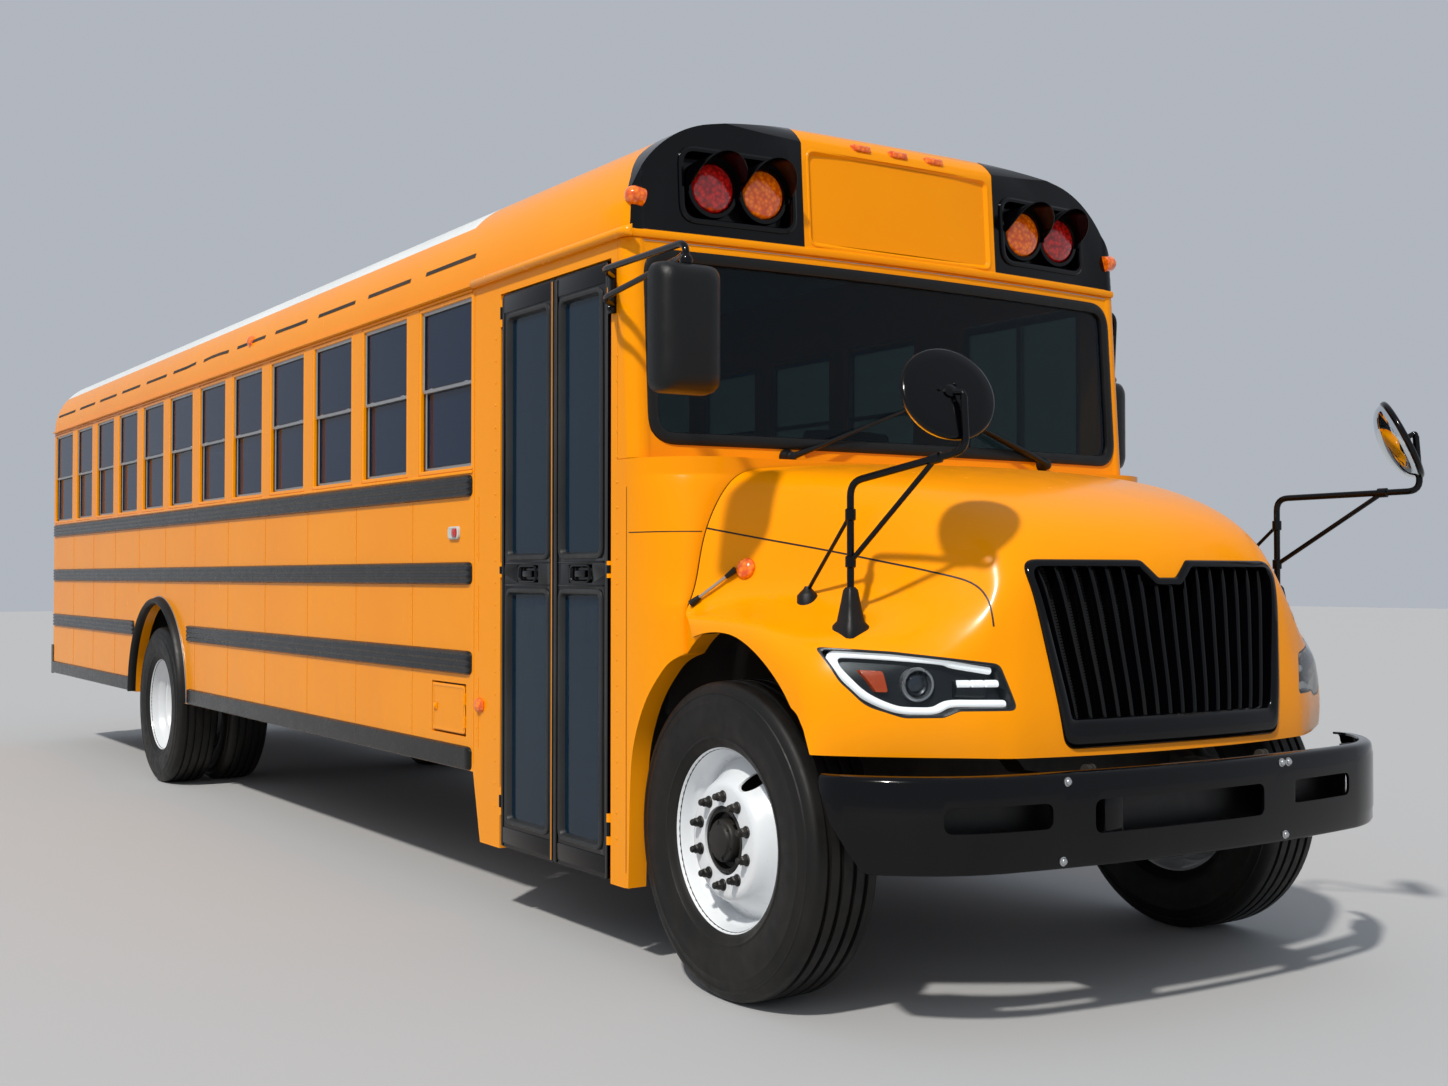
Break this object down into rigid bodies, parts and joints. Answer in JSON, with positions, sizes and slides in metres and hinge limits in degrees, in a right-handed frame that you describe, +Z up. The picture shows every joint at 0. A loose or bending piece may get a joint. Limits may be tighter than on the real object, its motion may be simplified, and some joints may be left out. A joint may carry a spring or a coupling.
{
  "type": "conventional school bus",
  "caption": "Conventional school bus: hollow yellow body on a ladder frame, tilting hood, folding entry door, emergency door, stop arm and steered wheels.",
  "frame": {"origin": "on the ground, under the middle of the length and width of the bus", "axes": "+Z up; the front faces -Y; +X is the left side of the bus and -X its door side"},
  "size_m": [2.904, 11.4562, 3.1629],
  "materials": {
    "black_paint": "satin paint",
    "bumper_black": "gloss paint",
    "cast": "rough",
    "dash_grey": "grained",
    "floor_rubber": "ribbed",
    "frame_black": "matt chassis paint",
    "glass": "tinted",
    "headlamp": "clear gloss",
    "lamp_amber": "clear gloss",
    "lamp_red": "clear gloss",
    "mirror_black": "fine grain",
    "roof_paint": "gloss paint",
    "rubber": "matt",
    "seat_vinyl": "vinyl",
    "steel": "dull",
    "stop_red": "reflective",
    "tyre": "matt",
    "wheel_white": "gloss paint",
    "yellow": "gloss paint"
  },
  "bodies": {
    "root": {"chassis_frame": "frame_black", "cowl": "yellow", "dashboard": "dash_grey", "door_mirrors": "mirror_black", "drive_shaft": "steel", "driver_seat": "seat_vinyl", "engine_block": "cast", "entry_steps": "floor_rubber", "exhaust": "steel", "floor": "floor_rubber", "front_axle": "frame_black", "front_bumper": "bumper_black", "front_cap": "yellow", "fuel_tank": "steel", "leaf_springs": "frame_black", "left_side_wall": "yellow", "marker_lamps": "lamp_amber", "passenger_seats": "seat_vinyl", "rear_axle": "frame_black", "rear_bumper": "bumper_black", "rear_wall": "yellow", "right_side_wall": "yellow", "roof": "roof_paint", "roof_hatch": "yellow", "rub_rails": "black_paint", "steering_wheel": "dash_grey", "tail_lamps": "lamp_red", "warning_lamps": "lamp_red", "wheel_arch_trims": "rubber", "window_frames": "black_paint", "window_glass": "glass", "windshield": "glass", "windshield_surround": "yellow", "wipers": "black_paint"},
    "hood": {"hood": "yellow", "grille": "black_paint", "headlamps": "headlamp", "cross_view_mirrors": "mirror_black"},
    "entry_front_leaf": {"entry_door_front_leaf": "black_paint", "entry_door_front_glass": "glass"},
    "entry_rear_leaf": {"entry_door_rear_leaf": "black_paint", "entry_door_rear_glass": "glass"},
    "rear_door": {"rear_door": "yellow", "rear_door_glass": "glass"},
    "battery_hatch": {"battery_hatch": "yellow"},
    "stop_arm": {"stop_arm": "stop_red"},
    "front_right_knuckle": {"front_right_knuckle": "frame_black"},
    "front_left_knuckle": {"front_left_knuckle": "frame_black"},
    "front_right_wheel": {"front_right_tyre": "tyre", "front_right_wheel": "wheel_white"},
    "front_left_wheel": {"front_left_tyre": "tyre", "front_left_wheel": "wheel_white"},
    "rear_right_wheels": {"rear_right_tyres": "tyre", "rear_right_wheel": "wheel_white"},
    "rear_left_wheels": {"rear_left_tyres": "tyre", "rear_left_wheel": "wheel_white"}
  },
  "joints": [
    {"name": "hood_tilt", "type": "hinge", "parent": "root", "child": "hood", "pos_m": [0, -5.573, 0.786], "axis": [1, 0, 0], "range_deg": [0, 65]},
    {"name": "entry_front_leaf_swing", "type": "hinge", "parent": "root", "child": "entry_front_leaf", "pos_m": [-1.219, -4.036, 1.4], "axis": [0, 0, 1], "range_deg": [0, 90]},
    {"name": "entry_rear_leaf_swing", "type": "hinge", "parent": "root", "child": "entry_rear_leaf", "pos_m": [-1.219, -3.149, 1.4], "axis": [0, 0, -1], "range_deg": [0, 90]},
    {"name": "rear_door_swing", "type": "hinge", "parent": "root", "child": "rear_door", "pos_m": [-0.446, 5.645, 1.75], "axis": [0, 0, 1], "range_deg": [0, 110]},
    {"name": "battery_hatch_swing", "type": "hinge", "parent": "root", "child": "battery_hatch", "pos_m": [-1.219, -2.795, 0.813], "axis": [0, 0, 1], "range_deg": [0, 100]},
    {"name": "stop_arm_swing", "type": "hinge", "parent": "root", "child": "stop_arm", "pos_m": [1.259, -3.685, 1.515], "axis": [0, 0, -1], "range_deg": [0, 90]},
    {"name": "right_steer", "type": "hinge", "parent": "root", "child": "front_right_knuckle", "pos_m": [-0.93, -4.695, 0.518], "axis": [0, 0, 1], "range_deg": [-40, 40]},
    {"name": "left_steer", "type": "hinge", "parent": "root", "child": "front_left_knuckle", "pos_m": [0.93, -4.695, 0.518], "axis": [0, 0, 1], "range_deg": [-40, 40]},
    {"name": "front_right_spin", "type": "hinge", "parent": "front_right_knuckle", "child": "front_right_wheel", "pos_m": [-1.045, -4.695, 0.518], "axis": [1, 0, 0], "continuous": true},
    {"name": "front_left_spin", "type": "hinge", "parent": "front_left_knuckle", "child": "front_left_wheel", "pos_m": [1.045, -4.695, 0.518], "axis": [1, 0, 0], "continuous": true},
    {"name": "rear_right_spin", "type": "hinge", "parent": "root", "child": "rear_right_wheels", "pos_m": [-0.927, 2.155, 0.518], "axis": [1, 0, 0], "continuous": true},
    {"name": "rear_left_spin", "type": "hinge", "parent": "root", "child": "rear_left_wheels", "pos_m": [0.927, 2.155, 0.518], "axis": [1, 0, 0], "continuous": true}
  ],
  "couplings": [
    {"joint": "entry_rear_leaf_swing", "follows": "entry_front_leaf_swing", "ratio": 1},
    {"joint": "left_steer", "follows": "right_steer", "ratio": 1}
  ]
}
